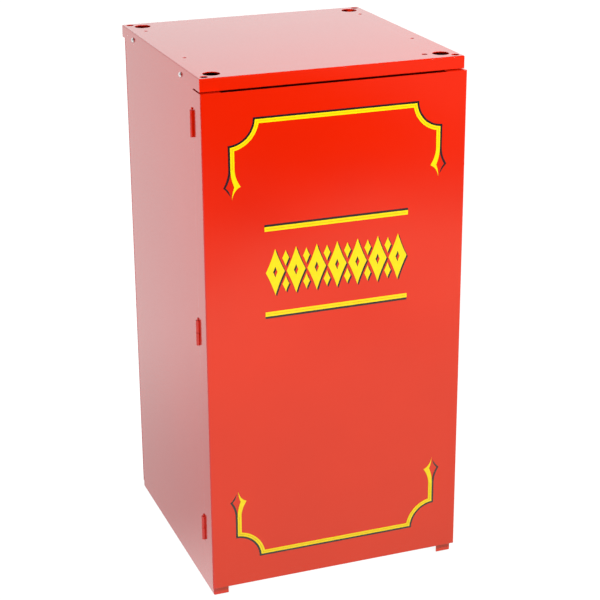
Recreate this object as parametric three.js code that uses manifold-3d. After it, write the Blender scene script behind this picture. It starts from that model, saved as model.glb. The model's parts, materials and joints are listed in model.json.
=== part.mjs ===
// Pedestal cabinet for a countertop popcorn machine: a folded sheet-steel box on two toes, with
// a flanged tray on top, one lift-off hinged door, a fixed shelf and a magnetic catch.
// Millimetres, +Z up. The origin is on the floor, under the middle of the overall depth.

import * as THREE from "three";
import { mergeVertices } from "three/addons/utils/BufferGeometryUtils.js";
import Module from "manifold-3d";

// Overall sizes
const CABINET_WIDTH = 386;
const CABINET_HEIGHT = 775;
const TRAY_DEPTH = 389;
const DOOR_PROUD = 7.4; // the door's face stands this far ahead of the tray
const TRAY_FRONT = -(TRAY_DEPTH + DOOR_PROUD) / 2 + DOOR_PROUD;
const TRAY_BACK = TRAY_FRONT + TRAY_DEPTH;

// Sheet steel
const SHEET = 1.2;
const BEND_RADIUS = 1.2; // at the middle of the sheet
const GAP = 0.3; // room between neighbouring pieces
const BEND_STEPS = 4;
const WELD_LAP = 0.3; // how far welded pieces run into each other
const FACETS = { small: 16, medium: 24, large: 32 }; // sides of round bars and holes
const CUT_ROOM = 5; // how far a cutting tool runs past what it cuts

// Tray
const TRAY_FLANGE = 18;
const FOOT_HOLE_RADIUS = 12;
const FOOT_HOLE_INSET = 25;
const CORNER_HOLE_RADIUS = 5.5;
const CORNER_HOLE_INSET = 9.8;
const EDGE_HOLE_RADIUS = 2.8;
const EDGE_HOLE_INSET = 20.5;
const EDGE_HOLE_SETBACKS = [132, 329];
const SPARE_HOLE = { radius: 4.2, insetX: 48.6, insetY: 27.6 };

// Side panels
const SIDE_FACE = CABINET_WIDTH / 2 - SHEET - GAP;
const SIDE_FRONT = TRAY_FRONT + 30.5;
const SIDE_REAR = TRAY_FRONT + 380.5;
const SIDE_TOP = CABINET_HEIGHT - SHEET - GAP;
const FRONT_FLANGE = 23;
const REAR_FLANGE = 20;
const BOTTOM_FLANGE = 16;
const TOE_HEIGHT = 13;
const TAB_OVERLAP = 12; // how far a toe or tab laps back along the web
const TAB_LIFT = 1; // the tab's lower edge above the tray's
const FLANGE_TOP = 750; // the upright flanges stop below the tray's holes

// Back, floor and shelf
const BACK_FRONT = SIDE_REAR + GAP;
const BACK_BOTTOM = 10;
const BACK_TOP = 760;
const FLOOR_TOP = 36;
const FLOOR_FLANGE = 20;
const SHELF_TOP = 385;
const SHELF_FLANGE = 18;
const PAN_SETBACK = 3.6;
const NEST_ROOM = 0.5; // round a piece that slips in behind a flange or through a window
const PAN_FRONT = SIDE_FRONT + PAN_SETBACK;
const PAN_REAR = SIDE_REAR - SHEET - NEST_ROOM;
const SHELF_BRACKET = { height: 21, width: 22, ledge: 14, sheet: 1.5 };
const BRACKET_SETBACKS = [60, 300];

// Door
const DOOR_WIDTH = 389;
const DOOR_FACE = TRAY_FRONT - DOOR_PROUD;
const DOOR_BOTTOM = 14.3;
const DOOR_TOP = 755.8;
const DOOR_RETURN = 36.4;
const DOOR_LIP = 30;
const DOOR_REAR = DOOR_FACE + DOOR_RETURN;
const STIFFENER = { length: 384, height: 54, depth: 15, crown: 30, middle: 385 };

// Hinges
const HINGE_HEIGHTS = { upper: 708.5, middle: 406.5, lower: 98.5 };
const HINGE_AXIS_X = -CABINET_WIDTH / 2 - 2.1;
const HINGE_AXIS_Y = TRAY_FRONT + 29.5;
const BARREL_RADIUS = 3.35;
const BARREL_HEIGHT = 37;
const PIN_RADIUS = 1.5;
const PIN_ROOM = 0.3;
const PIN_TIP = { radius: 1.2, shoulder: 0.3, rise: 3.9, chamfer: 0.5 }; // bare end above the barrel
const KNUCKLE_GAP = 0.6;
const LEAF_REACH = 26;
const BARREL_ROOM = 0.8; // between a barrel and the sheet or leaf cut back around it
const NOTCH_ROOM = 1.7; // above and below a barrel

// Magnetic catch, behind the right front flange
const CATCH = { x: 180, z: 445, width: 12, depth: 16, height: 32, earHeight: 11, earDepth: 3 };
const MAGNET = { width: 8, height: 17, depth: 10 };
const CATCH_SCREW = { shank: 1.3, head: 2.6, headHeight: 1.8, shoulder: 0.8, crown: 0.4, room: 0.3 };

// Rivets
const RIVET = { head: 3.7, headHeight: 2.9, shank: 1.6, tail: 2.3, tailHeight: 1.2, room: 0.2 };
const DOME_STEPS = 5;
const RIVET_HOLE_RADIUS = 1.95;
const TRAY_RIVET_SETBACKS = [83.5, 326.5];
const TRAY_RIVET_HEIGHT = 763.5;
const BACK_RIVET_HEIGHTS = [70, 387, 712];

// Printed film on the door, laid out about the door's middle
const FILM = 0.3;
const FILM_ROOM = 0.1;
const PRINT_MIDDLE = 387;
const BORDER = { halfWidth: 157.7, halfHeight: 331.6, scoop: 36, line: 2.9, band: 5.8 };
const FINIAL = { straight: 33.6, point: 24.8, tip: 42.4, dart: 7.7, barb: 8.3, notch: 5.1 };
const FINIAL_PULLS = { notch: 0.4, barb: 2.6, dart: 2.2, dartRise: 0.625, dartEnd: 2.4, reach: 0.75 };
const RULE = { halfWidth: 107.5, bandInner: 59.2, bandOuter: 65.8, lineOuter: 68.7, middle: 496.7 };
const ORNAMENT = { count: 7, pitch: 30.8, halfWidth: 14, halfHeight: 34, middle: 495.5 };
const LOZENGE = { pinch: 0.44, eye: 0.24 };
const CURVE_STEPS = 6;
const TINY = 0.01;

const RED = { color: 0xd81f0c, roughness: 0.22, metalness: 0.0 };
const ZINC = { color: 0xb9bcc0, roughness: 0.35, metalness: 1.0 };
const BLACK_PLASTIC = { color: 0x1b1b1d, roughness: 0.6, metalness: 0.0 };
const MAGNET_GREY = { color: 0x4b4d50, roughness: 0.5, metalness: 0.6 };
const YELLOW_FILM = { color: 0xffe600, roughness: 0.35, metalness: 0.0 };
const DARK_FILM = { color: 0x24142a, roughness: 0.35, metalness: 0.0 };

const wasm = await Module();
wasm.setup();

// ---------- solids ----------

function solid(geometry) {
  const bare = geometry.index ? geometry.toNonIndexed() : geometry.clone();
  bare.deleteAttribute("normal");
  bare.deleteAttribute("uv");
  const merged = mergeVertices(bare, 1e-4);
  return new wasm.Manifold(
    new wasm.Mesh({
      numProp: 3,
      vertProperties: new Float32Array(merged.attributes.position.array),
      triVerts: new Uint32Array(merged.index.array),
    }),
  );
}

function geometryOf(manifold) {
  const mesh = manifold.getMesh();
  const geometry = new THREE.BufferGeometry();
  geometry.setAttribute("position", new THREE.BufferAttribute(mesh.vertProperties, 3));
  geometry.setIndex(new THREE.BufferAttribute(mesh.triVerts, 1));
  geometry.computeVertexNormals();
  return geometry;
}

function block(low, high) {
  const box = new THREE.BoxGeometry(high[0] - low[0], high[1] - low[1], high[2] - low[2]);
  box.translate((low[0] + high[0]) / 2, (low[1] + high[1]) / 2, (low[2] + high[2]) / 2);
  return solid(box);
}

// A round bar along X, Y or Z, from one place on that axis to another.
function bar(axis, radius, centre, from, to, sides) {
  const cylinder = new THREE.CylinderGeometry(radius, radius, to - from, sides);
  cylinder.translate(0, (from + to) / 2, 0);
  turnTo(cylinder, axis);
  const place = { x: [0, centre[0], centre[1]], y: [centre[0], 0, centre[1]], z: [...centre, 0] };
  cylinder.translate(...place[axis]);
  return solid(cylinder);
}

// Turns a geometry built along +Y so that it runs along +X, +Y or +Z.
function turnTo(geometry, axis) {
  if (axis === "x") {
    geometry.rotateZ(-Math.PI / 2);
  }
  if (axis === "z") {
    geometry.rotateX(Math.PI / 2);
  }
}

// One side of a bent sheet: the route shifted sideways, with an arc at each right-angle bend.
function sheetSide(route, shift) {
  const points = [];
  route.forEach((corner, i) => {
    const before = i > 0 ? corner.clone().sub(route[i - 1]).normalize() : null;
    const after = i < route.length - 1 ? route[i + 1].clone().sub(corner).normalize() : null;
    if (!before || !after) {
      const along = before ?? after;
      points.push(corner.clone().add(new THREE.Vector2(-along.y, along.x).multiplyScalar(shift)));
      return;
    }
    const turn = Math.sign(before.cross(after));
    const centre = corner.clone().addScaledVector(before, -BEND_RADIUS);
    centre.addScaledVector(after, BEND_RADIUS);
    const radius = BEND_RADIUS - turn * shift;
    const start = Math.atan2(-after.y, -after.x);
    for (let step = 0; step <= BEND_STEPS; step += 1) {
      const angle = start + (turn * (Math.PI / 2) * step) / BEND_STEPS;
      const spoke = new THREE.Vector2(Math.cos(angle), Math.sin(angle));
      points.push(centre.clone().addScaledVector(spoke, radius));
    }
  });
  return points;
}

// A sheet bent along a route of right angles (its middle line), pulled out to a length along +Z.
function bentSheet(route, length, thickness = SHEET) {
  const corners = route.map(([x, y]) => new THREE.Vector2(x, y));
  const outline = [
    ...sheetSide(corners, thickness / 2),
    ...sheetSide(corners, -thickness / 2).reverse(),
  ];
  return new THREE.ExtrudeGeometry(new THREE.Shape(outline), {
    depth: length,
    bevelEnabled: false,
  });
}

// A shallow pan, open downwards: a plate with a bent flange on each edge, mitred at the corners.
function pan(low, high, flange) {
  const outer = archBlock(low, high, flange, 0, BEND_RADIUS + SHEET / 2);
  const inner = archBlock(low, high, flange + CUT_ROOM, SHEET, BEND_RADIUS - SHEET / 2);
  return outer.subtract(inner);
}

// A block with rounded upper edges, held in by an inset on its sides and top.
function archBlock(low, high, height, inset, radius) {
  const x = [low[0] + inset, high[0] - inset];
  const y = [low[1] + inset, high[1] - inset];
  const across = arch(x, height, radius, y[1] - y[0]);
  across.rotateX(Math.PI / 2);
  across.translate(0, y[1], high[2] - inset);
  const deep = arch(y, height, radius, x[1] - x[0]);
  deep.rotateX(Math.PI / 2);
  deep.rotateZ(Math.PI / 2);
  deep.translate(x[0], 0, high[2] - inset);
  return solid(across).intersect(solid(deep));
}

// An outline with rounded upper corners and its top at zero, pulled out to a length along +Z.
function arch(span, height, radius, length) {
  const shape = new THREE.Shape();
  shape.moveTo(span[0], -height);
  shape.lineTo(span[1], -height);
  shape.lineTo(span[1], -radius);
  shape.absarc(span[1] - radius, -radius, radius, 0, Math.PI / 2, false);
  shape.absarc(span[0] + radius, -radius, radius, Math.PI / 2, Math.PI, false);
  shape.closePath();
  return new THREE.ExtrudeGeometry(shape, {
    depth: length,
    bevelEnabled: false,
    curveSegments: BEND_STEPS / 2,
  });
}

// ---------- cabinet ----------

function trayHoles() {
  const holes = [];
  const drill = (radius, x, y, sides) => {
    const from = CABINET_HEIGHT - SHEET - CUT_ROOM;
    holes.push(bar("z", radius, [x, y], from, CABINET_HEIGHT + CUT_ROOM, sides));
  };
  for (const side of [-1, 1]) {
    for (const [edge, inward] of [[TRAY_FRONT, 1], [TRAY_BACK, -1]]) {
      const footX = side * (CABINET_WIDTH / 2 - FOOT_HOLE_INSET);
      const cornerX = side * (CABINET_WIDTH / 2 - CORNER_HOLE_INSET);
      drill(FOOT_HOLE_RADIUS, footX, edge + inward * FOOT_HOLE_INSET, FACETS.large);
      drill(CORNER_HOLE_RADIUS, cornerX, edge + inward * CORNER_HOLE_INSET, FACETS.medium);
    }
    for (const setback of EDGE_HOLE_SETBACKS) {
      const edgeX = side * (CABINET_WIDTH / 2 - EDGE_HOLE_INSET);
      drill(EDGE_HOLE_RADIUS, edgeX, TRAY_FRONT + setback, FACETS.small);
    }
  }
  const spareX = CABINET_WIDTH / 2 - SPARE_HOLE.insetX;
  drill(SPARE_HOLE.radius, spareX, TRAY_FRONT + SPARE_HOLE.insetY, FACETS.small);
  return holes;
}

function topTray() {
  let tray = pan(
    [-CABINET_WIDTH / 2, TRAY_FRONT, 0],
    [CABINET_WIDTH / 2, TRAY_BACK, CABINET_HEIGHT],
    TRAY_FLANGE,
  );
  for (const hole of trayHoles()) {
    tray = tray.subtract(hole);
  }
  for (const setback of TRAY_RIVET_SETBACKS) {
    tray = tray.subtract(trayRivetHole(setback));
  }
  return tray;
}

// A hole right across the cabinet's width, through both tray flanges and both side panels.
function trayRivetHole(setback) {
  const reach = CABINET_WIDTH / 2 + CUT_ROOM;
  const centre = [TRAY_FRONT + setback, TRAY_RIVET_HEIGHT];
  return bar("x", RIVET_HOLE_RADIUS, centre, -reach, reach, FACETS.small);
}

// side is -1 on the left and 1 on the right.
function sidePanel(side) {
  const web = side * (SIDE_FACE - SHEET / 2);
  const frontLine = SIDE_FRONT + SHEET / 2;
  const rearLine = SIDE_REAR - SHEET / 2;
  const folded = bentSheet(
    [
      [side * (SIDE_FACE - FRONT_FLANGE), frontLine],
      [web, frontLine],
      [web, rearLine],
      [side * (SIDE_FACE - REAR_FLANGE), rearLine],
    ],
    SIDE_TOP,
  );
  const toeLine = TRAY_FRONT + SHEET / 2;
  const toe = bentSheet(
    [
      [side * (SIDE_FACE - FRONT_FLANGE), toeLine],
      [web, toeLine],
      [web, SIDE_FRONT + TAB_OVERLAP],
    ],
    TOE_HEIGHT,
  );
  const tabLow = CABINET_HEIGHT - TRAY_FLANGE + TAB_LIFT;
  let panel = solid(folded).add(solid(toe));
  panel = panel.add(sideBlock(side, [0, SHEET], [TRAY_FRONT + SHEET + GAP, SIDE_FRONT + TAB_OVERLAP],
    [tabLow, SIDE_TOP]));
  panel = panel.add(sideBlock(side, [0, BOTTOM_FLANGE], [TRAY_FRONT + SHEET, SIDE_REAR - SHEET],
    [0, SHEET]));
  panel = panel.subtract(bottomBendRelief(side));
  panel = panel.subtract(sideBlock(side, [SHEET, FRONT_FLANGE + CUT_ROOM],
    [SIDE_FRONT - CUT_ROOM, SIDE_REAR + CUT_ROOM], [FLANGE_TOP, SIDE_TOP + CUT_ROOM]));
  for (const setback of TRAY_RIVET_SETBACKS) {
    panel = panel.subtract(trayRivetHole(setback));
  }
  for (const height of BACK_RIVET_HEIGHTS) {
    panel = panel.subtract(backRivetHole(side, height));
  }
  return panel;
}

// What the bend takes off a side panel's bottom edge.
function bottomBendRelief(side) {
  const radius = BEND_RADIUS + SHEET / 2;
  const rear = SIDE_REAR + CUT_ROOM;
  const corner = sideBlock(side, [-CUT_ROOM, radius], [TRAY_FRONT - CUT_ROOM, rear],
    [-CUT_ROOM, radius]);
  const centre = [side * (SIDE_FACE - radius), radius];
  return corner.subtract(bar("y", radius, centre, TRAY_FRONT - CUT_ROOM, rear, FACETS.large));
}

// A block measured inwards from a side panel's outer face.
function sideBlock(side, inward, alongY, alongZ) {
  const faces = [side * (SIDE_FACE - inward[0]), side * (SIDE_FACE - inward[1])];
  return block(
    [Math.min(...faces), alongY[0], alongZ[0]],
    [Math.max(...faces), alongY[1], alongZ[1]],
  );
}

function leftSidePanel() {
  let panel = sidePanel(-1);
  for (const middle of Object.values(HINGE_HEIGHTS)) {
    panel = panel.subtract(sideBlock(
      -1,
      [-CUT_ROOM, SHEET + NEST_ROOM],
      [SIDE_FRONT - CUT_ROOM, HINGE_AXIS_Y + BARREL_RADIUS + BARREL_ROOM],
      notchSpan(middle),
    ));
  }
  return panel;
}

function rightSidePanel() {
  const halfWidth = MAGNET.width / 2 + NEST_ROOM;
  const halfHeight = MAGNET.height / 2 + NEST_ROOM;
  const window = block(
    [CATCH.x - halfWidth, SIDE_FRONT - CUT_ROOM, CATCH.z - halfHeight],
    [CATCH.x + halfWidth, SIDE_FRONT + CUT_ROOM, CATCH.z + halfHeight],
  );
  let panel = sidePanel(1).subtract(window);
  for (const height of catchScrewHeights()) {
    panel = panel.subtract(catchScrewHole(height));
  }
  return panel;
}

function notchSpan(middle) {
  const half = BARREL_HEIGHT / 2 + NOTCH_ROOM;
  return [middle - half, middle + half];
}

function backPanel() {
  let panel = block(
    [-SIDE_FACE, BACK_FRONT, BACK_BOTTOM],
    [SIDE_FACE, BACK_FRONT + SHEET, BACK_TOP],
  );
  for (const side of [-1, 1]) {
    for (const height of BACK_RIVET_HEIGHTS) {
      panel = panel.subtract(backRivetHole(side, height));
    }
  }
  return panel;
}

function backRivetX(side) {
  return side * (SIDE_FACE - REAR_FLANGE / 2);
}

function backRivetHole(side, height) {
  const centre = [backRivetX(side), height];
  const from = SIDE_REAR - CUT_ROOM;
  return bar("y", RIVET_HOLE_RADIUS, centre, from, SIDE_REAR + CUT_ROOM, FACETS.small);
}

function floorPan() {
  const half = SIDE_FACE - SHEET - GAP;
  return pan([-half, PAN_FRONT, 0], [half, PAN_REAR, FLOOR_TOP], FLOOR_FLANGE);
}

function midShelf() {
  const half = SIDE_FACE - SHEET - GAP - SHELF_BRACKET.sheet;
  return pan([-half, PAN_FRONT, 0], [half, PAN_REAR, SHELF_TOP], SHELF_FLANGE);
}

// An angle bracket welded to a side panel, with its ledge under the shelf's flange.
function shelfBracket(side, setback) {
  const wall = SIDE_FACE - SHEET - GAP / 2;
  const { sheet } = SHELF_BRACKET;
  const ledgeTop = SHELF_TOP - SHELF_FLANGE - GAP;
  const angle = bentSheet(
    [
      [side * (wall - sheet / 2), ledgeTop - SHELF_BRACKET.height],
      [side * (wall - sheet / 2), ledgeTop - sheet / 2],
      [side * (wall - SHELF_BRACKET.ledge), ledgeTop - sheet / 2],
    ],
    SHELF_BRACKET.width,
    sheet,
  );
  angle.rotateX(Math.PI / 2);
  angle.translate(0, TRAY_FRONT + setback + SHELF_BRACKET.width, 0);
  return solid(angle);
}

// ---------- door ----------

function doorPanel() {
  const half = DOOR_WIDTH / 2 - SHEET / 2;
  const frontLine = DOOR_FACE + SHEET / 2;
  const rearLine = DOOR_REAR - SHEET / 2;
  const lip = DOOR_WIDTH / 2 - DOOR_LIP;
  const folded = bentSheet(
    [
      [-lip, rearLine],
      [-half, rearLine],
      [-half, frontLine],
      [half, frontLine],
      [half, rearLine],
      [lip, rearLine],
    ],
    DOOR_TOP - DOOR_BOTTOM,
  );
  folded.translate(0, 0, DOOR_BOTTOM);
  let door = solid(folded);
  for (const plate of doorCornerPlates()) {
    door = door.add(plate);
  }
  for (const middle of Object.values(HINGE_HEIGHTS)) {
    const [low, high] = notchSpan(middle);
    door = door.subtract(block(
      [-DOOR_WIDTH / 2 - CUT_ROOM, HINGE_AXIS_Y - BARREL_RADIUS - BARREL_ROOM, low],
      [HINGE_AXIS_X + BARREL_RADIUS + BARREL_ROOM, DOOR_REAR + CUT_ROOM, high],
    ));
  }
  return door;
}

// Plates welded in at the door's corners, closing its ends behind each lip.
function doorCornerPlates() {
  const outer = DOOR_WIDTH / 2 - SHEET + WELD_LAP;
  const inner = DOOR_WIDTH / 2 - DOOR_LIP;
  const front = DOOR_FACE + SHEET - WELD_LAP;
  const rear = DOOR_REAR - SHEET + WELD_LAP;
  const plates = [];
  for (const low of [DOOR_BOTTOM, DOOR_TOP - SHEET]) {
    plates.push(block([-outer, front, low], [-inner, rear, low + SHEET]));
    plates.push(block([inner, front, low], [outer, rear, low + SHEET]));
  }
  return plates;
}

// A hat-section rail across the inside of the door.
function doorStiffener() {
  const faceLine = DOOR_FACE + SHEET + GAP + SHEET / 2;
  const crownLine = faceLine + STIFFENER.depth - SHEET;
  const low = STIFFENER.middle - STIFFENER.height / 2;
  const crownLow = STIFFENER.middle - STIFFENER.crown / 2;
  const hat = bentSheet(
    [
      [low, faceLine],
      [crownLow, faceLine],
      [crownLow, crownLine],
      [crownLow + STIFFENER.crown, crownLine],
      [crownLow + STIFFENER.crown, faceLine],
      [low + STIFFENER.height, faceLine],
    ],
    STIFFENER.length,
  );
  hat.rotateY(-Math.PI / 2);
  hat.translate(STIFFENER.length / 2, 0, 0);
  return solid(hat);
}

// ---------- hinges ----------

function knuckle(low, high) {
  const centre = [HINGE_AXIS_X, HINGE_AXIS_Y];
  const bore = PIN_RADIUS + PIN_ROOM;
  return {
    ring: bar("z", BARREL_RADIUS, centre, low, high, FACETS.large),
    bore: bar("z", bore, centre, low - CUT_ROOM, high + CUT_ROOM, FACETS.medium),
  };
}

// A leaf joined to its knuckle over half the barrel's height and cut back from the other knuckle.
function hingeLeaf(middle, leafFront, upperKnuckle) {
  const low = middle - BARREL_HEIGHT / 2;
  const high = middle + BARREL_HEIGHT / 2;
  const knuckleLow = upperKnuckle ? middle + KNUCKLE_GAP / 2 : low;
  const knuckleHigh = upperKnuckle ? high : middle - KNUCKLE_GAP / 2;
  const leafRear = leafFront + SHEET;
  const { ring, bore } = knuckle(knuckleLow, knuckleHigh);
  const plate = block(
    [HINGE_AXIS_X + BARREL_RADIUS + BARREL_ROOM, leafFront, low],
    [HINGE_AXIS_X + LEAF_REACH, leafRear, high],
  );
  const neck = block(
    [HINGE_AXIS_X, leafFront, knuckleLow],
    [HINGE_AXIS_X + LEAF_REACH / 2, leafRear, knuckleHigh],
  );
  return ring.add(neck).add(plate).subtract(bore);
}

function doorLeaf(middle) {
  return hingeLeaf(middle, DOOR_REAR - 2 * SHEET - GAP, true);
}

function frameLeaf(middle) {
  return hingeLeaf(middle, SIDE_FRONT + SHEET + GAP, false);
}

function hingePin(middle) {
  const half = BARREL_HEIGHT / 2;
  const tipTop = half + PIN_TIP.rise;
  const pin = turned([
    [0, -half],
    [PIN_RADIUS, -half],
    [PIN_RADIUS, half],
    [PIN_TIP.radius, half + PIN_TIP.shoulder],
    [PIN_TIP.radius, tipTop - PIN_TIP.chamfer],
    [PIN_TIP.radius - PIN_TIP.chamfer, tipTop],
    [0, tipTop],
  ], FACETS.medium);
  turnTo(pin, "z");
  pin.translate(HINGE_AXIS_X, HINGE_AXIS_Y, middle);
  return solid(pin);
}

// Turns a profile of [radius, height] pairs about +Y.
function turned(profile, sides) {
  return new THREE.LatheGeometry(profile.map(([r, y]) => new THREE.Vector2(r, y)), sides);
}

// ---------- catch ----------

function catchScrewHeights() {
  const reach = CATCH.height / 2 + CATCH.earHeight / 2;
  return [CATCH.z - reach, CATCH.z + reach];
}

function catchScrewHole(height) {
  const radius = CATCH_SCREW.shank + CATCH_SCREW.room;
  const centre = [CATCH.x, height];
  const to = SIDE_FRONT + 2 * CUT_ROOM;
  return bar("y", radius, centre, SIDE_FRONT - CUT_ROOM, to, FACETS.small);
}

function catchHousing() {
  const front = SIDE_FRONT + SHEET + GAP;
  const halfWidth = CATCH.width / 2;
  const earReach = CATCH.height / 2 + CATCH.earHeight;
  const body = block(
    [CATCH.x - halfWidth, front, CATCH.z - CATCH.height / 2],
    [CATCH.x + halfWidth, front + CATCH.depth, CATCH.z + CATCH.height / 2],
  );
  const ears = block(
    [CATCH.x - halfWidth, front, CATCH.z - earReach],
    [CATCH.x + halfWidth, front + CATCH.earDepth, CATCH.z + earReach],
  );
  const pocket = block(
    [CATCH.x - MAGNET.width / 2 - GAP, front - CUT_ROOM, CATCH.z - MAGNET.height / 2 - GAP],
    [CATCH.x + MAGNET.width / 2 + GAP, magnetRear() + GAP, CATCH.z + MAGNET.height / 2 + GAP],
  );
  let housing = body.add(ears).subtract(pocket);
  for (const height of catchScrewHeights()) {
    housing = housing.subtract(catchScrewHole(height));
  }
  return housing;
}

function magnetRear() {
  return DOOR_REAR + GAP + MAGNET.depth;
}

function catchMagnet() {
  return block(
    [CATCH.x - MAGNET.width / 2, DOOR_REAR + GAP, CATCH.z - MAGNET.height / 2],
    [CATCH.x + MAGNET.width / 2, magnetRear(), CATCH.z + MAGNET.height / 2],
  );
}

function catchScrew(height) {
  const { shank, head, headHeight, shoulder, crown } = CATCH_SCREW;
  const seat = SIDE_FRONT + SHEET + GAP + CATCH.earDepth + GAP / 2;
  const screw = turned([
    [0, SIDE_FRONT],
    [shank, SIDE_FRONT],
    [shank, seat],
    [head, seat],
    [head * shoulder, seat + headHeight * shoulder],
    [head * crown, seat + headHeight],
    [0, seat + headHeight],
  ], FACETS.small);
  screw.translate(CATCH.x, 0, height);
  return solid(screw);
}

// ---------- rivets ----------

// A domed rivet along +Y: its tail at the bottom, its head on top, clamping a stack of sheets.
function rivet(stack) {
  const seat = stack / 2 + RIVET.room;
  const profile = [
    [0, -seat - RIVET.tailHeight],
    [RIVET.shank, -seat - RIVET.tailHeight],
    [RIVET.tail, -seat],
    [RIVET.shank, -seat],
    [RIVET.shank, seat],
    [RIVET.head, seat],
  ];
  for (let step = 1; step < DOME_STEPS; step += 1) {
    const angle = (step / DOME_STEPS) * (Math.PI / 2);
    profile.push([RIVET.head * Math.cos(angle), seat + RIVET.headHeight * Math.sin(angle)]);
  }
  profile.push([0, seat + RIVET.headHeight]);
  return turned(profile, FACETS.medium);
}

function trayRivet(side, setback) {
  const stack = 2 * SHEET + GAP;
  const geometry = rivet(stack);
  geometry.rotateZ(side * -Math.PI / 2);
  geometry.translate(
    side * (CABINET_WIDTH / 2 - stack / 2),
    TRAY_FRONT + setback,
    TRAY_RIVET_HEIGHT,
  );
  return solid(geometry);
}

function backRivet(side, height) {
  const stack = 2 * SHEET + GAP;
  const geometry = rivet(stack);
  geometry.translate(backRivetX(side), BACK_FRONT + SHEET - stack / 2, height);
  return solid(geometry);
}

// ---------- printed film ----------

// A flat shape in the door's plane (x across, y up from the print's middle), lying on its face.
function film(shape) {
  const geometry = new THREE.ExtrudeGeometry(shape, {
    depth: FILM,
    bevelEnabled: false,
    curveSegments: CURVE_STEPS,
  });
  geometry.rotateX(Math.PI / 2);
  geometry.translate(0, DOOR_FACE - FILM_ROOM, PRINT_MIDDLE);
  return solid(geometry);
}

// One half of a border edge, from the middle of its long run round the scooped corner to the
// start of its finial, at a distance in from the border's outside.
function borderEdge(path, inset) {
  const across = BORDER.halfWidth - inset;
  const up = BORDER.halfHeight - inset;
  const radius = BORDER.scoop + inset;
  const dip = Math.asin(inset / radius);
  path.lineTo(-BORDER.halfWidth + radius * Math.cos(dip), up);
  path.absarc(-BORDER.halfWidth, BORDER.halfHeight, radius, -dip, -Math.PI / 2 + dip, true);
  path.lineTo(-across, finialTop());
}

function finialTop() {
  return BORDER.halfHeight - BORDER.scoop - FINIAL.straight;
}

// The yellow band: its outside edge down to the finial's tip and back up along its inside edge.
function bandHalf() {
  const outer = BORDER.line + FILM_ROOM;
  const inner = BORDER.line + BORDER.band;
  const top = finialTop();
  const point = top - FINIAL.point;
  const tip = top - FINIAL.tip;
  const tipX = -BORDER.halfWidth + inner / 2;
  const notchX = -BORDER.halfWidth + outer + FINIAL.notch;
  const barbX = -BORDER.halfWidth + inner + FINIAL.barb;
  const outside = new THREE.Path();
  outside.moveTo(0, BORDER.halfHeight - outer);
  borderEdge(outside, outer);
  outside.quadraticCurveTo(-BORDER.halfWidth + outer, top - FINIAL.point / 2, notchX, point);
  outside.quadraticCurveTo(tipX + FINIAL_PULLS.notch, point - FINIAL.dart, tipX, tip);
  const inside = new THREE.Path();
  inside.moveTo(0, BORDER.halfHeight - inner);
  borderEdge(inside, inner);
  inside.quadraticCurveTo(-BORDER.halfWidth + inner, top - FINIAL.point / 2, barbX, point);
  inside.quadraticCurveTo(tipX + FINIAL_PULLS.barb, point - FINIAL.dart / 2, tipX, tip);
  return { outside: outside.getPoints(CURVE_STEPS), inside: inside.getPoints(CURVE_STEPS) };
}

// The dark line outside the band, which flares away from it at the finial.
function lineHalf() {
  const top = finialTop();
  const point = top - FINIAL.point;
  const end = point - (FINIAL.tip - FINIAL.point) * FINIAL_PULLS.reach;
  const pullUp = point - FINIAL.dart * FINIAL_PULLS.dartRise;
  const trace = (inset) => {
    const path = new THREE.Path();
    path.moveTo(0, BORDER.halfHeight - inset);
    borderEdge(path, inset);
    const edge = -BORDER.halfWidth + inset;
    path.quadraticCurveTo(edge, top - FINIAL.point / 2, edge - FINIAL.dart, point);
    const endX = edge - inset + FINIAL_PULLS.dartEnd;
    path.quadraticCurveTo(edge - FINIAL_PULLS.dart, pullUp, endX, end);
    return path.getPoints(CURVE_STEPS);
  };
  return { outside: trace(0), inside: trace(BORDER.line) };
}

// Closes a half outline with its mirror image; up is 1 at the door's top and -1 at its foot.
function borderShape(half, up) {
  const outside = tidyRun(half.outside);
  const inside = tidyRun(half.inside);
  const loop = [
    ...outside.slice().reverse(),
    ...outside.slice(1).map(mirrored),
    ...inside.slice().reverse().map(mirrored),
    ...inside.slice(1),
  ];
  return new THREE.Shape(tidyRun(loop).map((p) => new THREE.Vector2(p.x, up * p.y)));
}

function mirrored(point) {
  return new THREE.Vector2(-point.x, point.y);
}

// Drops points that repeat the one before them.
function tidyRun(points) {
  const kept = points.filter((p, i) => i === 0 || p.distanceTo(points[i - 1]) > TINY);
  if (kept[0].distanceTo(kept[kept.length - 1]) < TINY) {
    kept.pop();
  }
  return kept;
}

function rectangle(x0, y0, x1, y1) {
  return new THREE.Shape([
    new THREE.Vector2(x0, y0),
    new THREE.Vector2(x1, y0),
    new THREE.Vector2(x1, y1),
    new THREE.Vector2(x0, y1),
  ]);
}

// up is 1 for the rule above the ornaments and -1 for the one below.
function ruleShape(up, inner, outer) {
  const middle = RULE.middle - PRINT_MIDDLE;
  const edges = [middle + up * inner, middle + up * outer];
  return rectangle(-RULE.halfWidth, Math.min(...edges), RULE.halfWidth, Math.max(...edges));
}

// A tall four-pointed lozenge with a small lozenge cut out of its middle.
function lozenge(place) {
  const x = (place - (ORNAMENT.count - 1) / 2) * ORNAMENT.pitch;
  const y = ORNAMENT.middle - PRINT_MIDDLE;
  const shape = new THREE.Shape();
  drawLozenge(shape, x, y, ORNAMENT.halfWidth, ORNAMENT.halfHeight);
  const eye = new THREE.Path();
  drawLozenge(eye, x, y, ORNAMENT.halfWidth * LOZENGE.eye, ORNAMENT.halfHeight * LOZENGE.eye);
  shape.holes.push(eye);
  return shape;
}

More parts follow.
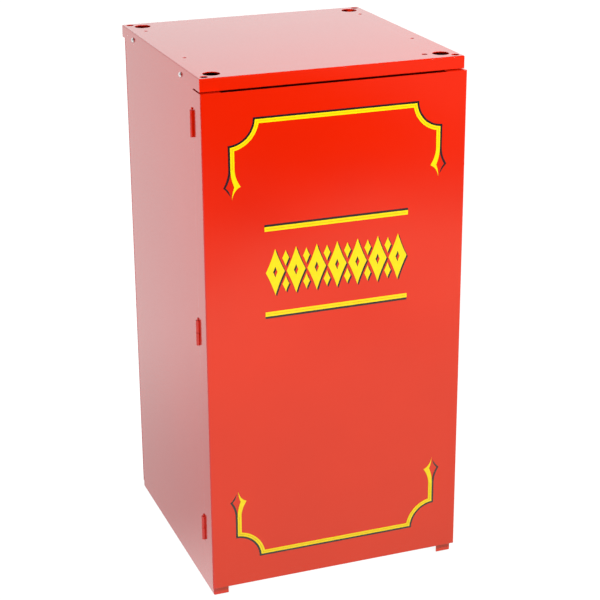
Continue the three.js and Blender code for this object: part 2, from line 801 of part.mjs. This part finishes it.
function drawLozenge(path, x, y, halfWidth, halfHeight) {
  path.moveTo(x, y + halfHeight);
  for (const [across, up] of [[-1, 0], [0, -1], [1, 0], [0, 1]]) {
    const last = path.currentPoint;
    const next = new THREE.Vector2(x + across * halfWidth, y + up * halfHeight);
    const bendX = x + (last.x + next.x - 2 * x) * LOZENGE.pinch;
    const bendY = y + (last.y + next.y - 2 * y) * LOZENGE.pinch;
    path.quadraticCurveTo(bendX, bendY, next.x, next.y);
  }
}

// ---------- assembly ----------

const cabinet = new THREE.Group();
const door = new THREE.Group();

function put(group, name, manifold, look) {
  const mesh = new THREE.Mesh(geometryOf(manifold), new THREE.MeshStandardMaterial(look));
  mesh.name = name;
  group.add(mesh);
}

const SIDES = [["left", -1], ["right", 1]];
const DEPTHS = ["front", "rear"];
const LEVELS = ["lower", "middle", "upper"];

put(cabinet, "top_tray", topTray(), RED);
put(cabinet, "left_side_panel", leftSidePanel(), RED);
put(cabinet, "right_side_panel", rightSidePanel(), RED);
put(cabinet, "back_panel", backPanel(), RED);
put(cabinet, "floor_pan", floorPan(), RED);
put(cabinet, "mid_shelf", midShelf(), RED);
put(cabinet, "catch_housing", catchHousing(), BLACK_PLASTIC);
put(cabinet, "catch_magnet", catchMagnet(), MAGNET_GREY);
catchScrewHeights().forEach((height, i) => {
  put(cabinet, `catch_screw_${["lower", "upper"][i]}`, catchScrew(height), ZINC);
});

for (const [sideName, side] of SIDES) {
  DEPTHS.forEach((depthName, i) => {
    const bracket = shelfBracket(side, BRACKET_SETBACKS[i]);
    put(cabinet, `shelf_bracket_${sideName}_${depthName}`, bracket, RED);
    const fastener = trayRivet(side, TRAY_RIVET_SETBACKS[i]);
    put(cabinet, `tray_rivet_${sideName}_${depthName}`, fastener, ZINC);
  });
  LEVELS.forEach((levelName, i) => {
    const fastener = backRivet(side, BACK_RIVET_HEIGHTS[i]);
    put(cabinet, `back_rivet_${sideName}_${levelName}`, fastener, ZINC);
  });
}

put(door, "door_panel", doorPanel(), RED);
put(door, "door_stiffener", doorStiffener(), RED);
for (const [level, middle] of Object.entries(HINGE_HEIGHTS)) {
  put(cabinet, `${level}_hinge_frame_leaf`, frameLeaf(middle), RED);
  put(cabinet, `${level}_hinge_pin`, hingePin(middle), RED);
  put(door, `${level}_hinge_door_leaf`, doorLeaf(middle), RED);
}

for (const [levelName, up] of [["upper", 1], ["lower", -1]]) {
  put(door, `${levelName}_border_band`, film(borderShape(bandHalf(), up)), YELLOW_FILM);
  put(door, `${levelName}_border_line`, film(borderShape(lineHalf(), up)), DARK_FILM);
  const ruleBand = ruleShape(up, RULE.bandInner, RULE.bandOuter);
  const ruleLine = ruleShape(up, RULE.bandOuter + FILM_ROOM, RULE.lineOuter);
  put(door, `${levelName}_rule_band`, film(ruleBand), YELLOW_FILM);
  put(door, `${levelName}_rule_line`, film(ruleLine), DARK_FILM);
}
for (let place = 0; place < ORNAMENT.count; place += 1) {
  put(door, `ornament_${place + 1}`, film(lozenge(place)), YELLOW_FILM);
}

const group = new THREE.Group();
group.add(cabinet, door);

export default group;
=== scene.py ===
"""A pedestal cabinet for a countertop popcorn machine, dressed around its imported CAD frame.

The folded sheets, hinges and catch are the frame's own nodes with small rounded edges and a
gloss enamel. The printed graphics and the rivets are finer pieces that replace their nodes.
"""

import json
import math

import bmesh
import bpy
from mathutils import Matrix, Vector


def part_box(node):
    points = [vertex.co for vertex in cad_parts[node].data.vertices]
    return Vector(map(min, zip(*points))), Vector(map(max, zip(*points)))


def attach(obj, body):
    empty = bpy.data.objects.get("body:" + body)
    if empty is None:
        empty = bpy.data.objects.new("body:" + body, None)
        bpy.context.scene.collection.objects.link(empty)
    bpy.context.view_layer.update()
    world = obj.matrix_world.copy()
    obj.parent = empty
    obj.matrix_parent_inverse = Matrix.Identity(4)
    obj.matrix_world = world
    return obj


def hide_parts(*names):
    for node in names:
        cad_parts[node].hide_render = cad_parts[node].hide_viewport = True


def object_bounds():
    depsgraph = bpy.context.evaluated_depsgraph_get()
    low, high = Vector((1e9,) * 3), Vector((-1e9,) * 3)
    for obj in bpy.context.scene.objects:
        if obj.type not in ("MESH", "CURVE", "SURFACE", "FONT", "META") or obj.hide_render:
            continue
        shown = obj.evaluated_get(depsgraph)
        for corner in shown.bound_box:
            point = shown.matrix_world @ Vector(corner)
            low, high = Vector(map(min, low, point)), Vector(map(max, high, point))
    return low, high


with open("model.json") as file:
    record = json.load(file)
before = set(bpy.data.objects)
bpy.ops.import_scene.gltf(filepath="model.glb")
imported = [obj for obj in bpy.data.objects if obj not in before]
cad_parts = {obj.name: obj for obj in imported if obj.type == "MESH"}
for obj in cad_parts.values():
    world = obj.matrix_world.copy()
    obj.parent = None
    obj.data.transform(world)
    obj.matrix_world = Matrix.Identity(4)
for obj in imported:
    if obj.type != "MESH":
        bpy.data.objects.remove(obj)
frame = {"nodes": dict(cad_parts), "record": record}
cad_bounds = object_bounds()
nodes = frame["nodes"]

SLOT_OF = {part["node"]: part["material_slot"] for part in frame["record"]["subparts"]}

# Camera, about a point on the cabinet's middle
CAMERA_AZIMUTH = math.radians(-20.495)
CAMERA_ELEVATION = math.radians(20.615)
CAMERA_ROLL = math.radians(-0.35)
CAMERA_DISTANCE = 2.5769
CAMERA_SLIDE = (0.0178, -0.0153)  # to its right and up
CAMERA_LENS = 100.9
AIM_AHEAD = 0.0015  # of the tray's middle

# Edges of the frame's nodes
EDGE_RADIUS = 0.0004
EDGE_SEGMENTS = 2
SHARP_TURN = math.radians(40)  # sharper edges are rounded here, and kept sharp on turned pieces
FLAT_TURN = math.radians(0.6)  # facets that turn less are joined
WELD_GAP = 1e-5

# Prints
INK = 0.00012
UNDER = 1.2 * INK  # how far the dark ink lies behind the yellow
SHADOW_SLIP = (0.0022, -0.0022)
ARC_STEPS = 28
BOW_STEPS = 14
SAME_POINT = 1e-6

# Ornaments, as shares of a lozenge's half width and half height
PINCH = 0.44
EYE = 0.24
BEAD_RISE = 0.56
BEAD_WIDTH = 0.36
BEAD_HEIGHT = 0.34

# Rivets
RIVET_STEPS = 40
DOME_STEPS = 12
SHANK = 0.0016
TAIL = 0.0012
TAIL_FLARE = 1.4  # the tail's radius over the shank's
DOME = 0.0029
UNDERCUT = 0.97  # the underside's radius over the head's
RIM = 0.06  # the rim's share of the dome's height
DIMPLE = 0.0006
DIMPLE_PROFILE = ((1.0, 0.01), (0.7, 0.08), (0.0, 0.10))  # shares of its radius, of the dome

# Most values of a noise texture lie in this span
NOISE_SPAN = (0.3, 0.7)


# ---------- shader helpers ----------


class Nodes:
    """Short calls for adding nodes to a tree."""

    def __init__(self, tree):
        self.tree = tree

    def add(self, kind, inputs=None, **settings):
        made = self.tree.nodes.new(kind)
        for key, value in settings.items():
            setattr(made, key, value)
        for key, value in (inputs or {}).items():
            self.feed(made.inputs[key], value)
        return made

    def feed(self, socket, value):
        if isinstance(value, bpy.types.NodeSocket):
            self.tree.links.new(value, socket)
        else:
            socket.default_value = value


class Shader(Nodes):
    """A new material with its Principled shader."""

    INPUTS = {
        "color": "Base Color",
        "roughness": "Roughness",
        "metallic": "Metallic",
        "ior": "IOR",
    }

    def __init__(self, name):
        self.material = bpy.data.materials.new(name)
        self.material.use_nodes = True
        super().__init__(self.material.node_tree)
        self.principled = self.tree.nodes["Principled BSDF"]
        self.coordinates = self.tree.nodes.new("ShaderNodeTexCoord").outputs["Object"]

    def noise(self, scale, detail=2.0, stretch=(1, 1, 1), roughness=0.5):
        place = self.add("ShaderNodeMapping", {"Vector": self.coordinates, "Scale": stretch})
        made = self.add(
            "ShaderNodeTexNoise",
            {
                "Vector": place.outputs["Vector"],
                "Scale": scale,
                "Detail": detail,
                "Roughness": roughness,
            },
        )
        return made.outputs["Fac"]

    def spread(self, value, low, high):
        start, end = NOISE_SPAN
        made = self.add(
            "ShaderNodeMapRange",
            {0: value, 1: start, 2: end, 3: low, 4: high},
        )
        return made.outputs["Result"]

    def tint(self, value, dark, light):
        made = self.add(
            "ShaderNodeMix",
            {"Factor": self.spread(value, 0.0, 1.0), "A": (*dark, 1), "B": (*light, 1)},
            data_type="RGBA",
        )
        return made.outputs["Result"]

    def bumps(self, layers):
        """Stacks bumps, each a (height, distance in metres, strength)."""
        normal = None
        for height, distance, strength in layers:
            inputs = {"Height": height, "Distance": distance, "Strength": strength}
            if normal is not None:
                inputs["Normal"] = normal
            normal = self.add("ShaderNodeBump", inputs).outputs["Normal"]
        self.feed(self.principled.inputs["Normal"], normal)

    def set(self, **values):
        for key, value in values.items():
            self.feed(self.principled.inputs[self.INPUTS[key]], value)


# ---------- materials ----------


def red_enamel():
    """Gloss powder coat: a faint orange-peel surface over slightly wavy sheet."""
    shader = Shader("red_enamel")
    drift = shader.noise(5, detail=3)
    speck = shader.noise(900, detail=1)
    peel = shader.noise(420, detail=1.5)
    shader.set(
        color=shader.tint(drift, (0.68, 0.0120, 0.0004), (0.72, 0.0140, 0.0005)),
        roughness=shader.spread(speck, 0.10, 0.16),
        ior=1.5,
    )
    shader.bumps([(drift, 0.0006, 0.10), (peel, 0.00004, 0.35)])
    return shader.material


def zinc_plate():
    """Bright zinc: fine drawn scratches and a cloudy finish."""
    shader = Shader("zinc_plate")
    cloud = shader.noise(700, detail=3)
    drawn = shader.noise(900, detail=2, stretch=(1, 1, 9))
    shader.set(
        color=shader.tint(cloud, (0.62, 0.63, 0.64), (0.78, 0.78, 0.77)),
        roughness=shader.spread(cloud, 0.34, 0.48),
        metallic=0.7,
    )
    shader.bumps([(drawn, 0.00003, 0.4)])
    return shader.material


def black_plastic():
    """Moulded plastic with a fine spark-eroded grain."""
    shader = Shader("black_plastic")
    grain = shader.noise(2600, detail=2)
    cloud = shader.noise(60, detail=2)
    shader.set(
        color=shader.tint(cloud, (0.014, 0.014, 0.016), (0.024, 0.024, 0.027)),
        roughness=shader.spread(grain, 0.42, 0.6),
    )
    shader.bumps([(grain, 0.00005, 0.5)])
    return shader.material


def ferrite():
    """Sintered magnet: dark, slightly metallic, with a pitted face."""
    shader = Shader("ferrite")
    pits = shader.noise(1800, detail=4, roughness=0.7)
    shader.set(
        color=shader.tint(pits, (0.05, 0.05, 0.055), (0.11, 0.11, 0.115)),
        roughness=shader.spread(pits, 0.35, 0.6),
        metallic=0.5,
    )
    shader.bumps([(pits, 0.00006, 0.6)])
    return shader.material


def ink(name, dark, light):
    """Screen-printed ink: small changes of cover and a soft pull texture."""
    shader = Shader(name)
    cover = shader.noise(130, detail=4)
    pull = shader.noise(500, detail=1, stretch=(1, 1, 4))
    shader.set(
        color=shader.tint(cover, dark, light),
        roughness=shader.spread(pull, 0.16, 0.26),
        ior=1.5,
    )
    shader.bumps([(pull, 0.00002, 0.3)])
    return shader.material


MATERIALS = {
    "red_enamel": red_enamel(),
    "zinc_plate": zinc_plate(),
    "black_plastic": black_plastic(),
    "ferrite": ferrite(),
    "yellow_print": ink("yellow_print", (0.90, 0.65, 0.001), (0.96, 0.71, 0.002)),
    "dark_print": ink("dark_print", (0.008, 0.004, 0.009), (0.014, 0.007, 0.016)),
}


def dress(thing, slot):
    thing.data.materials.clear()
    thing.data.materials.append(MATERIALS[slot])


# ---------- the frame's own nodes ----------


def round_edges(thing):
    """Rounds a CAD node's sharp edges and shades its bends smoothly."""
    for face in thing.data.polygons:
        face.use_smooth = True
    weld = thing.modifiers.new("weld", "WELD")
    weld.merge_threshold = WELD_GAP
    flat = thing.modifiers.new("flat", "DECIMATE")
    flat.decimate_type = "DISSOLVE"
    flat.angle_limit = FLAT_TURN
    bevel = thing.modifiers.new("bevel", "BEVEL")
    bevel.limit_method = "ANGLE"
    bevel.angle_limit = SHARP_TURN
    bevel.width = EDGE_RADIUS
    bevel.segments = EDGE_SEGMENTS
    bevel.miter_outer = "MITER_ARC"
    thing.modifiers.new("normals", "WEIGHTED_NORMAL")


for name, thing in nodes.items():
    dress(thing, SLOT_OF[name])
    round_edges(thing)


# ---------- new pieces ----------


def add_piece(name, mesh, slot, body, replaced=()):
    thing = bpy.data.objects.new(name, mesh)
    bpy.context.scene.collection.objects.link(thing)
    dress(thing, slot)
    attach(thing, body)
    if replaced:
        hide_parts(*replaced)
    return thing


def lathe(name, profile, steps, place):
    """Turns an (across, along) profile about +Y, then places it; its ends lie on the axis."""
    mesh = bmesh.new()
    rings = []
    for across, along in profile:
        if across == 0:
            rings.append([mesh.verts.new((0, along, 0))])
            continue
        turns = [2 * math.pi * step / steps for step in range(steps)]
        rings.append([
            mesh.verts.new((across * math.cos(turn), along, across * math.sin(turn)))
            for turn in turns
        ])
    for first, second in zip(rings, rings[1:]):
        for step in range(steps):
            after = (step + 1) % steps
            corners = [
                first[step % len(first)],
                first[after % len(first)],
                second[after % len(second)],
                second[step % len(second)],
            ]
            mesh.faces.new(list(dict.fromkeys(corners)))
    bmesh.ops.recalc_face_normals(mesh, faces=mesh.faces)
    for face in mesh.faces:
        face.smooth = True
    for edge in mesh.edges:
        edge.smooth = edge.calc_face_angle(0) < SHARP_TURN
    mesh.transform(place)
    data = bpy.data.meshes.new(name)
    mesh.to_mesh(data)
    mesh.free()
    return data


def flat_print(name, outlines, front):
    """A thin flat shape in the door's plane from (x, z) outlines; inner ones cut holes."""
    curve = bpy.data.curves.new(name, "CURVE")
    curve.dimensions = "2D"
    curve.fill_mode = "BOTH"
    curve.extrude = INK / 2
    for outline in outlines:
        spline = curve.splines.new("POLY")
        spline.points.add(len(outline) - 1)
        for point, (x, z) in zip(spline.points, outline):
            point.co = (x, z, 0, 1)
        spline.use_cyclic_u = True
    maker = bpy.data.objects.new(name, curve)
    mesh = bpy.data.meshes.new_from_object(maker)
    bpy.data.objects.remove(maker)
    stand = Matrix.Translation((0, front + INK / 2, 0)) @ Matrix.Rotation(math.pi / 2, 4, "X")
    mesh.transform(stand)
    return mesh


# ---------- outlines ----------


def arc(centre, radius, start, end):
    turns = [start + (end - start) * step / ARC_STEPS for step in range(ARC_STEPS + 1)]
    return [
        (centre[0] + radius * math.cos(turn), centre[1] + radius * math.sin(turn))
        for turn in turns
    ]


def bow(start, pull, end):
    """A quadratic curve from start to end, pulled towards a third point."""
    points = []
    for step in range(1, BOW_STEPS + 1):
        t = step / BOW_STEPS
        shares = ((1 - t) ** 2, 2 * t * (1 - t), t * t)
        points.append(tuple(
            shares[0] * start[i] + shares[1] * pull[i] + shares[2] * end[i] for i in range(2)
        ))
    return points


def mirror_x(points):
    return [(-x, z) for x, z in points]


class Border:
    """The scooped border round the door, measured from the frame's own printed nodes."""

    SCOOP = 0.036  # radius of a scooped corner
    LINE = 0.0029  # width of the dark line
    LAP = 0.0003  # of the dark line under the yellow
    BAND = 0.0058  # width of the yellow band
    SLIT = 0.00035  # width of the fine gap along it

    # A finial's places: the run above it, then from its top down to its points and its tip
    STRAIGHT = 0.0336
    POINT = 0.0248
    TIP = 0.0424

    # How far it stands out sideways: the line's barb, the band's barb and the band's notch
    FLARE = 0.0077
    BARB = 0.0083
    NOTCH = 0.0051

    # Sideways pulls on its curves, measured from the band's tip and the line's edge
    NOTCH_PULL = 0.0004
    BARB_PULL = 0.0026
    FLARE_PULL = 0.0022
    FLARE_DROP = 0.625  # how far that last one lies below the points, as a share of the flare

    # The line's tip: its place across, and its share of the way from the points to the band's tip
    LINE_TIP = 0.0024
    LINE_REACH = 0.75

    def __init__(self):
        top_low, top_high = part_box("upper_border_line")
        foot_low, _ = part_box("lower_border_line")
        self.half_width = (top_high.x - top_low.x) / 2 - self.FLARE
        self.half_height = (top_high.z - foot_low.z) / 2
        self.middle = (top_high.z + foot_low.z) / 2
        self.finial_top = self.half_height - self.SCOOP - self.STRAIGHT

    def edge(self, inset):
        """Half of an edge, from the middle of the long run to the top of the finial."""
        radius = self.SCOOP + inset
        dip = math.asin(inset / radius)
        corner = (-self.half_width, self.half_height)
        run = [(0, self.half_height - inset)]
        run += arc(corner, radius, -dip, dip - math.pi / 2)
        run.append((-self.half_width + inset, self.finial_top))
        return run

    def band_half(self):
        """The left half of the band's two edges, with the finial."""
        inner = self.LINE + self.BAND
        point = self.finial_top - self.POINT
        bend = self.finial_top - self.POINT / 2
        tip = (-self.half_width + inner / 2, self.finial_top - self.TIP)
        notch = (-self.half_width + self.LINE + self.NOTCH, point)
        barb = (-self.half_width + inner + self.BARB, point)
        outside = self.edge(self.LINE)
        outside += bow(outside[-1], (outside[-1][0], bend), notch)
        outside += bow(notch, (tip[0] + self.NOTCH_PULL, point - self.FLARE), tip)
        inside = self.edge(inner)
        inside += bow(inside[-1], (inside[-1][0], bend), barb)
        inside += bow(barb, (tip[0] + self.BARB_PULL, point - self.FLARE / 2), tip)
        return outside, inside

    def slit_half(self):
        """A fine gap along the middle of the band, down to the finials."""
        middle = self.LINE + self.BAND / 2
        return self.edge(middle - self.SLIT / 2), self.edge(middle + self.SLIT / 2)

    def line_half(self):
        """The left half of the dark line's two edges, with the finial."""
        point = self.finial_top - self.POINT
        bend = self.finial_top - self.POINT / 2
        end = point - (self.TIP - self.POINT) * self.LINE_REACH
        halves = []
        for inset in (0, self.LINE + self.LAP):
            run = self.edge(inset)
            side = run[-1][0]
            barb = (side - self.FLARE, point)
            tip = (side - inset + self.LINE_TIP, end)
            pull = (side - self.FLARE_PULL, point - self.FLARE * self.FLARE_DROP)
            run += bow(run[-1], (side, bend), barb)
            run += bow(barb, pull, tip)
            halves.append(run)
        return halves

    def outline(self, halves, up):
        """Mirrors the halves into one loop on the door; up is -1 for the lower border."""
        outside, inside = halves
        loop = outside[::-1] + mirror_x(outside[1:])
        loop += mirror_x(inside[:0:-1]) + inside
        return [(x, self.middle + up * z) for x, z in without_repeats(loop)]


def without_repeats(points):
    kept = []
    for point in points:
        if not kept or math.dist(point, kept[-1]) > SAME_POINT:
            kept.append(point)
    if math.dist(kept[0], kept[-1]) < SAME_POINT:
        kept.pop()
    return kept


def rectangle(low, high):
    return [(low.x, low.z), (high.x, low.z), (high.x, high.z), (low.x, high.z)]


def rule_slit(low, high):
    """A fine gap along the middle of a rule, stopping short of its ends."""
    middle = (low.z + high.z) / 2
    room = Vector((Border.BAND / 2, 0, 0))
    start, end = low + room, high - room
    start.z, end.z = middle - Border.SLIT / 2, middle + Border.SLIT / 2
    return rectangle(start, end)


def lozenge(middle, half_width, half_height):
    """A lozenge with hollow sides."""
    corners = [(0, half_height), (-half_width, 0), (0, -half_height), (half_width, 0)]
    points = []
    for start, end in zip(corners, corners[1:] + corners[:1]):
        pull = ((start[0] + end[0]) * PINCH, (start[1] + end[1]) * PINCH)
        points += bow(start, pull, end)
    return [(middle[0] + x, middle[1] + z) for x, z in points]


# ---------- prints ----------


def print_on_door(name, outlines, slot, front, replaced=()):
    add_piece(name, flat_print(name, outlines, front), slot, "door", replaced)


def print_graphics():
    """The yellow bands and rules lie over the edges of the dark lines outside them."""
    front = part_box("upper_border_band")[0].y
    under = front + UNDER
    border = Border()
    for level, up in (("upper", 1), ("lower", -1)):
        name = f"{level}_border_band"
        outlines = [border.outline(half, up) for half in (border.band_half(), border.slit_half())]
        print_on_door(f"{name}_print", outlines, "yellow_print", front, [name])
        name = f"{level}_border_line"
        outlines = [border.outline(border.line_half(), up)]
        print_on_door(f"{name}_print", outlines, "dark_print", under, [name])
        name = f"{level}_rule_band"
        low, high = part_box(name)
        outlines = [rectangle(low, high), rule_slit(low, high)]
        print_on_door(f"{name}_print", outlines, "yellow_print", front, [name])
        name = f"{level}_rule_line"
        low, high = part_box(name)
        low.z -= Border.LAP
        high.z += Border.LAP
        print_on_door(f"{name}_print", [rectangle(low, high)], "dark_print", under, [name])


def print_with_shadow(name, outlines, front, replaced=()):
    """A yellow shape over its own dark drop shadow, a little lower and to the right."""
    print_on_door(f"{name}_print", outlines, "yellow_print", front, replaced)
    right, up = SHADOW_SLIP
    slipped = [[(x + right, z + up) for x, z in outline] for outline in outlines]
    print_on_door(f"{name}_shadow", slipped, "dark_print", front + UNDER)


def print_ornaments():
    """A row of tall lozenges, all one size, with a small one above and below between each two."""
    middles = []
    for name in sorted(n for n in nodes if n.startswith("ornament_")):
        low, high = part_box(name)
        middle = ((low.x + high.x) / 2, (low.z + high.z) / 2)
        half = ((high.x - low.x) / 2, (high.z - low.z) / 2)
        outlines = [lozenge(middle, *half), lozenge(middle, half[0] * EYE, half[1] * EYE)]
        print_with_shadow(name, outlines, low.y, [name])
        middles.append(middle)
    for place, (first, second) in enumerate(zip(middles, middles[1:]), start=1):
        for level, up in (("upper", 1), ("lower", -1)):
            middle = ((first[0] + second[0]) / 2, first[1] + up * BEAD_RISE * half[1])
            outlines = [lozenge(middle, half[0] * BEAD_WIDTH, half[1] * BEAD_HEIGHT)]
            print_with_shadow(f"{level}_bead_{place}", outlines, low.y)


# ---------- rivets ----------


def rivet_profile(low, high, head):
    """A domed rivet along +Y, from its pressed tail to the small dimple in its head."""
    seat = high - DOME
    profile = [(0, low), (SHANK, low), (SHANK * TAIL_FLARE, low + TAIL), (SHANK, low + TAIL)]
    profile += [(SHANK, seat), (head * UNDERCUT, seat), (head, seat + DOME * RIM)]
    for step in range(1, DOME_STEPS):
        turn = (step / DOME_STEPS) * math.pi / 2
        profile.append((head * math.cos(turn), seat + DOME * (RIM + (1 - RIM) * math.sin(turn))))
    profile += [(DIMPLE * across, high - DOME * depth) for across, depth in DIMPLE_PROFILE]
    return profile


def add_rivets():
    for name in sorted(n for n in nodes if "rivet" in n):
        low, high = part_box(name)
        middle = (low + high) / 2
        head = (high.z - low.z) / 2
        if name.startswith("back"):
            turn = Matrix.Identity(4)
            span = high.y - low.y
        else:
            outward = 1 if middle.x > 0 else -1
            turn = Matrix.Rotation(-outward * math.pi / 2, 4, "Z")
            span = high.x - low.x
        place = Matrix.Translation(middle) @ turn
        profile = rivet_profile(-span / 2, span / 2, head)
        mesh = lathe(f"{name}_turned", profile, RIVET_STEPS, place)
        add_piece(f"{name}_turned", mesh, "zinc_plate", "cabinet", [name])


print_graphics()
print_ornaments()
add_rivets()


# ---------- studio ----------


# Strengths of the world and the floor: what the camera sees is past full white, what matt
# surfaces receive is small, and what the gloss sees depends on the direction or the place
WHITE = 1.08
SKY_FILL = 0.12
FLOOR_FILL = 0.10
ROOM_GLOW = 0.05
BACKDROP_GLOW = 1.58
FRONT_GLOW = 1.62
SIDE_GLOW = 0.42
NEAR_GLOW = 0.95
REAR_GLOW = 1.40
FRONT_TINT = (1.0, 0.97, 0.70, 1.0)
PLAIN = (1.0, 1.0, 1.0, 1.0)

# Where the glow changes: the direction's Y for the backdrop, and for the rest metres on the floor
BACKDROP_RAMP = (-0.05, 0.5)
FRONT_RAMP = (-2.6, -1.0)
SIDE_RAMP = (1.1, 1.5)
BESIDE_RAMP = (-0.25, 0.1)
LEFT_RAMP = (-0.17, -0.195)
REAR_RAMP = (0.1, 0.95)
PATCH_SCALE = 1.6
PATCH_WANDER = 0.28

FLOOR_SIZE = 40
CONTACT_REACH = 0.1
CONTACT_SAMPLES = 8
CONTACT_RAMP = (0.0, 0.7)
CONTACT_SHADE = 0.9

# Two softboxes in front, a low fill on the right and one behind: place, target, size, watts
LIGHTS = {
    "right_softbox": ((0.95, -1.55, 1.75), (0.0, -0.2, 0.42), (0.6, 0.4), 45),
    "left_softbox": ((-2.1, -2.0, 1.05), (-0.2, -0.1, 0.42), (1.0, 0.8), 55),
    "right_fill": ((2.6, 0.2, 0.5), (0.2, 0, 0.4), (1.2, 0.6), 18),
    "back_fill": ((-0.4, 2.8, 0.5), (0, 0.2, 0.4), (1.2, 0.6), 40),
}


class Studio(Nodes):
    """An emptied world's or floor's shader."""

    def __init__(self, tree):
        super().__init__(tree)
        tree.nodes.clear()

    def remap(self, value, ramp, low, high):
        start, end = ramp
        made = self.add(
            "ShaderNodeMapRange",
            {0: value, 1: start, 2: end, 3: low, 4: high},
            interpolation_type="SMOOTHSTEP",
        )
        return made.outputs["Result"]

    def math(self, operation, first, second):
        return self.add("ShaderNodeMath", {0: first, 1: second}, operation=operation).outputs[0]

    def choose(self, share, first, second):
        made = self.add("ShaderNodeMix", {"Factor": share, "A": first, "B": second})
        return made.outputs["Result"]

    def choose_colour(self, share, first, second):
        inputs = {"Factor": share, "A": first, "B": second}
        return self.add("ShaderNodeMix", inputs, data_type="RGBA").outputs["Result"]


def studio_world():
    world = bpy.data.worlds.new("studio")
    bpy.context.scene.world = world
    world.use_nodes = True
    world.cycles.sampling_method = "NONE"
    make = Studio(world.node_tree)
    direction = make.add("ShaderNodeTexCoord").outputs["Generated"]
    backward = make.add("ShaderNodeSeparateXYZ", {0: direction}).outputs["Y"]
    gloss = make.remap(backward, BACKDROP_RAMP, ROOM_GLOW, BACKDROP_GLOW)
    path = make.add("ShaderNodeLightPath")
    received = make.choose(path.outputs["Is Glossy Ray"], SKY_FILL, gloss)
    strength = make.choose(path.outputs["Is Camera Ray"], received, WHITE)
    background = make.add("ShaderNodeBackground", {"Color": PLAIN, "Strength": strength})
    make.add("ShaderNodeOutputWorld", {"Surface": background.outputs[0]})


def floor_gloss(make):
    """The floor's colour and strength in the gloss.

    It is warm and patchy in front, dark further out, and plain beside and behind the object.
    """
    place = make.add("ShaderNodeNewGeometry").outputs["Position"]
    split = make.add("ShaderNodeSeparateXYZ", {0: place})
    across, depth = split.outputs["X"], split.outputs["Y"]
    patches = make.add("ShaderNodeTexNoise", {"Vector": place, "Scale": PATCH_SCALE, "Detail": 2.0})
    wander = make.remap(patches.outputs["Fac"], NOISE_SPAN, -PATCH_WANDER, PATCH_WANDER)
    front = make.remap(make.math("ADD", depth, wander), FRONT_RAMP, 0.0, FRONT_GLOW)
    side = make.remap(across, SIDE_RAMP, 0.0, SIDE_GLOW)
    lit = make.math("MAXIMUM", front, side)
    beside = make.remap(depth, BESIDE_RAMP, 0.0, 1.0)
    left = make.remap(across, LEFT_RAMP, 0.0, 1.0)
    rear = make.remap(depth, REAR_RAMP, NEAR_GLOW, REAR_GLOW)
    tint = make.choose_colour(make.math("MAXIMUM", beside, left), FRONT_TINT, PLAIN)
    return tint, make.choose(beside, lit, rear)


def studio_floor():
    """A pale floor that glows past white, with a faint contact shadow."""
    bpy.ops.mesh.primitive_plane_add(size=FLOOR_SIZE, location=(0, 0, 0))
    floor = bpy.context.object
    floor.name = "studio_floor"
    material = bpy.data.materials.new("studio_floor")
    material.use_nodes = True
    material.cycles.emission_sampling = "NONE"
    make = Studio(material.node_tree)
    path = make.add("ShaderNodeLightPath")
    is_gloss = path.outputs["Is Glossy Ray"]
    contact = make.add(
        "ShaderNodeAmbientOcclusion",
        {"Distance": CONTACT_REACH},
        samples=CONTACT_SAMPLES,
    )
    shade = make.remap(contact.outputs["AO"], CONTACT_RAMP, CONTACT_SHADE, WHITE)
    tint, gloss = floor_gloss(make)
    received = make.choose(is_gloss, FLOOR_FILL, gloss)
    strength = make.choose(path.outputs["Is Camera Ray"], received, shade)
    colour = make.choose_colour(is_gloss, PLAIN, tint)
    glow = make.add("ShaderNodeEmission", {"Color": colour, "Strength": strength})
    make.add("ShaderNodeOutputMaterial", {"Surface": glow.outputs[0]})
    floor.data.materials.append(material)


def area_light(name, place, target, size, watts):
    """A rectangular light that the gloss doesn't show."""
    light = bpy.data.lights.new(name, "AREA")
    light.shape = "RECTANGLE"
    light.size, light.size_y = size
    light.energy = watts
    lamp = bpy.data.objects.new(name, light)
    bpy.context.scene.collection.objects.link(lamp)
    lamp.location = place
    lamp.rotation_euler = (Vector(target) - Vector(place)).to_track_quat("-Z", "Y").to_euler()
    lamp.visible_glossy = False


def studio_camera():
    low, high = (Vector(corner) for corner in cad_bounds)
    tray_low, tray_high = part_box("top_tray")
    target = Vector((0, (tray_low.y + tray_high.y) / 2 - AIM_AHEAD, (low.z + high.z) / 2))
    back = Vector((
        math.sin(CAMERA_AZIMUTH) * math.cos(CAMERA_ELEVATION),
        -math.cos(CAMERA_AZIMUTH) * math.cos(CAMERA_ELEVATION),
        math.sin(CAMERA_ELEVATION),
    ))
    right = Vector((0, 0, 1)).cross(back).normalized()
    up = back.cross(right)
    tilted_right = math.cos(CAMERA_ROLL) * right + math.sin(CAMERA_ROLL) * up
    tilted_up = math.cos(CAMERA_ROLL) * up - math.sin(CAMERA_ROLL) * right
    turn = Matrix((tilted_right, tilted_up, back)).transposed()
    place = target + back * CAMERA_DISTANCE
    place += tilted_right * CAMERA_SLIDE[0] + tilted_up * CAMERA_SLIDE[1]
    lens = bpy.data.cameras.new("camera")
    lens.lens = CAMERA_LENS
    camera = bpy.data.objects.new("camera", lens)
    camera.matrix_world = Matrix.Translation(place) @ turn.to_4x4()
    bpy.context.scene.collection.objects.link(camera)
    bpy.context.scene.camera = camera


studio_world()
studio_floor()
for name, setting in LIGHTS.items():
    area_light(name, *setting)
studio_camera()
bpy.context.scene.view_settings.view_transform = "Standard"
